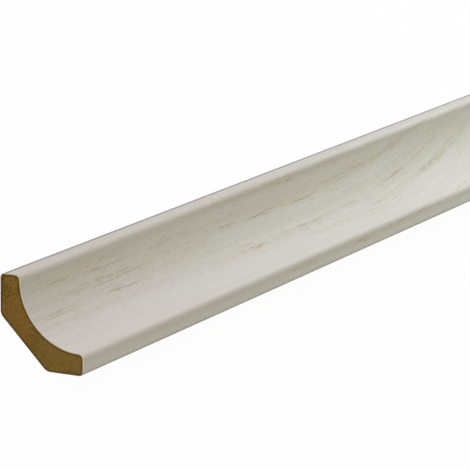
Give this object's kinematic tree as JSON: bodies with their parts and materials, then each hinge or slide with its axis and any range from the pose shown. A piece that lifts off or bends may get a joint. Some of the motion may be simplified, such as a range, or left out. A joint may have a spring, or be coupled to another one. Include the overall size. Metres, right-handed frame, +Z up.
{
  "type": "cove moulding",
  "caption": "Straight cove moulding for the corner between two surfaces: fibreboard core with a planed back, wrapped in white wood-grain foil on the hollowed side and edges.",
  "frame": {"origin": "middle of the planed back, halfway along the length, on the ground", "axes": "+X along the length, +Z up out of the cove, +Y from one leg of the section to the other"},
  "size_m": [2.5, 0.03, 0.0101],
  "materials": {
    "fibreboard": "raw machined fibreboard",
    "decor_foil": "satin printed wood grain"
  },
  "bodies": {
    "root": {"mdf_core": "fibreboard", "decor_foil": "decor_foil"}
  },
  "joints": []
}
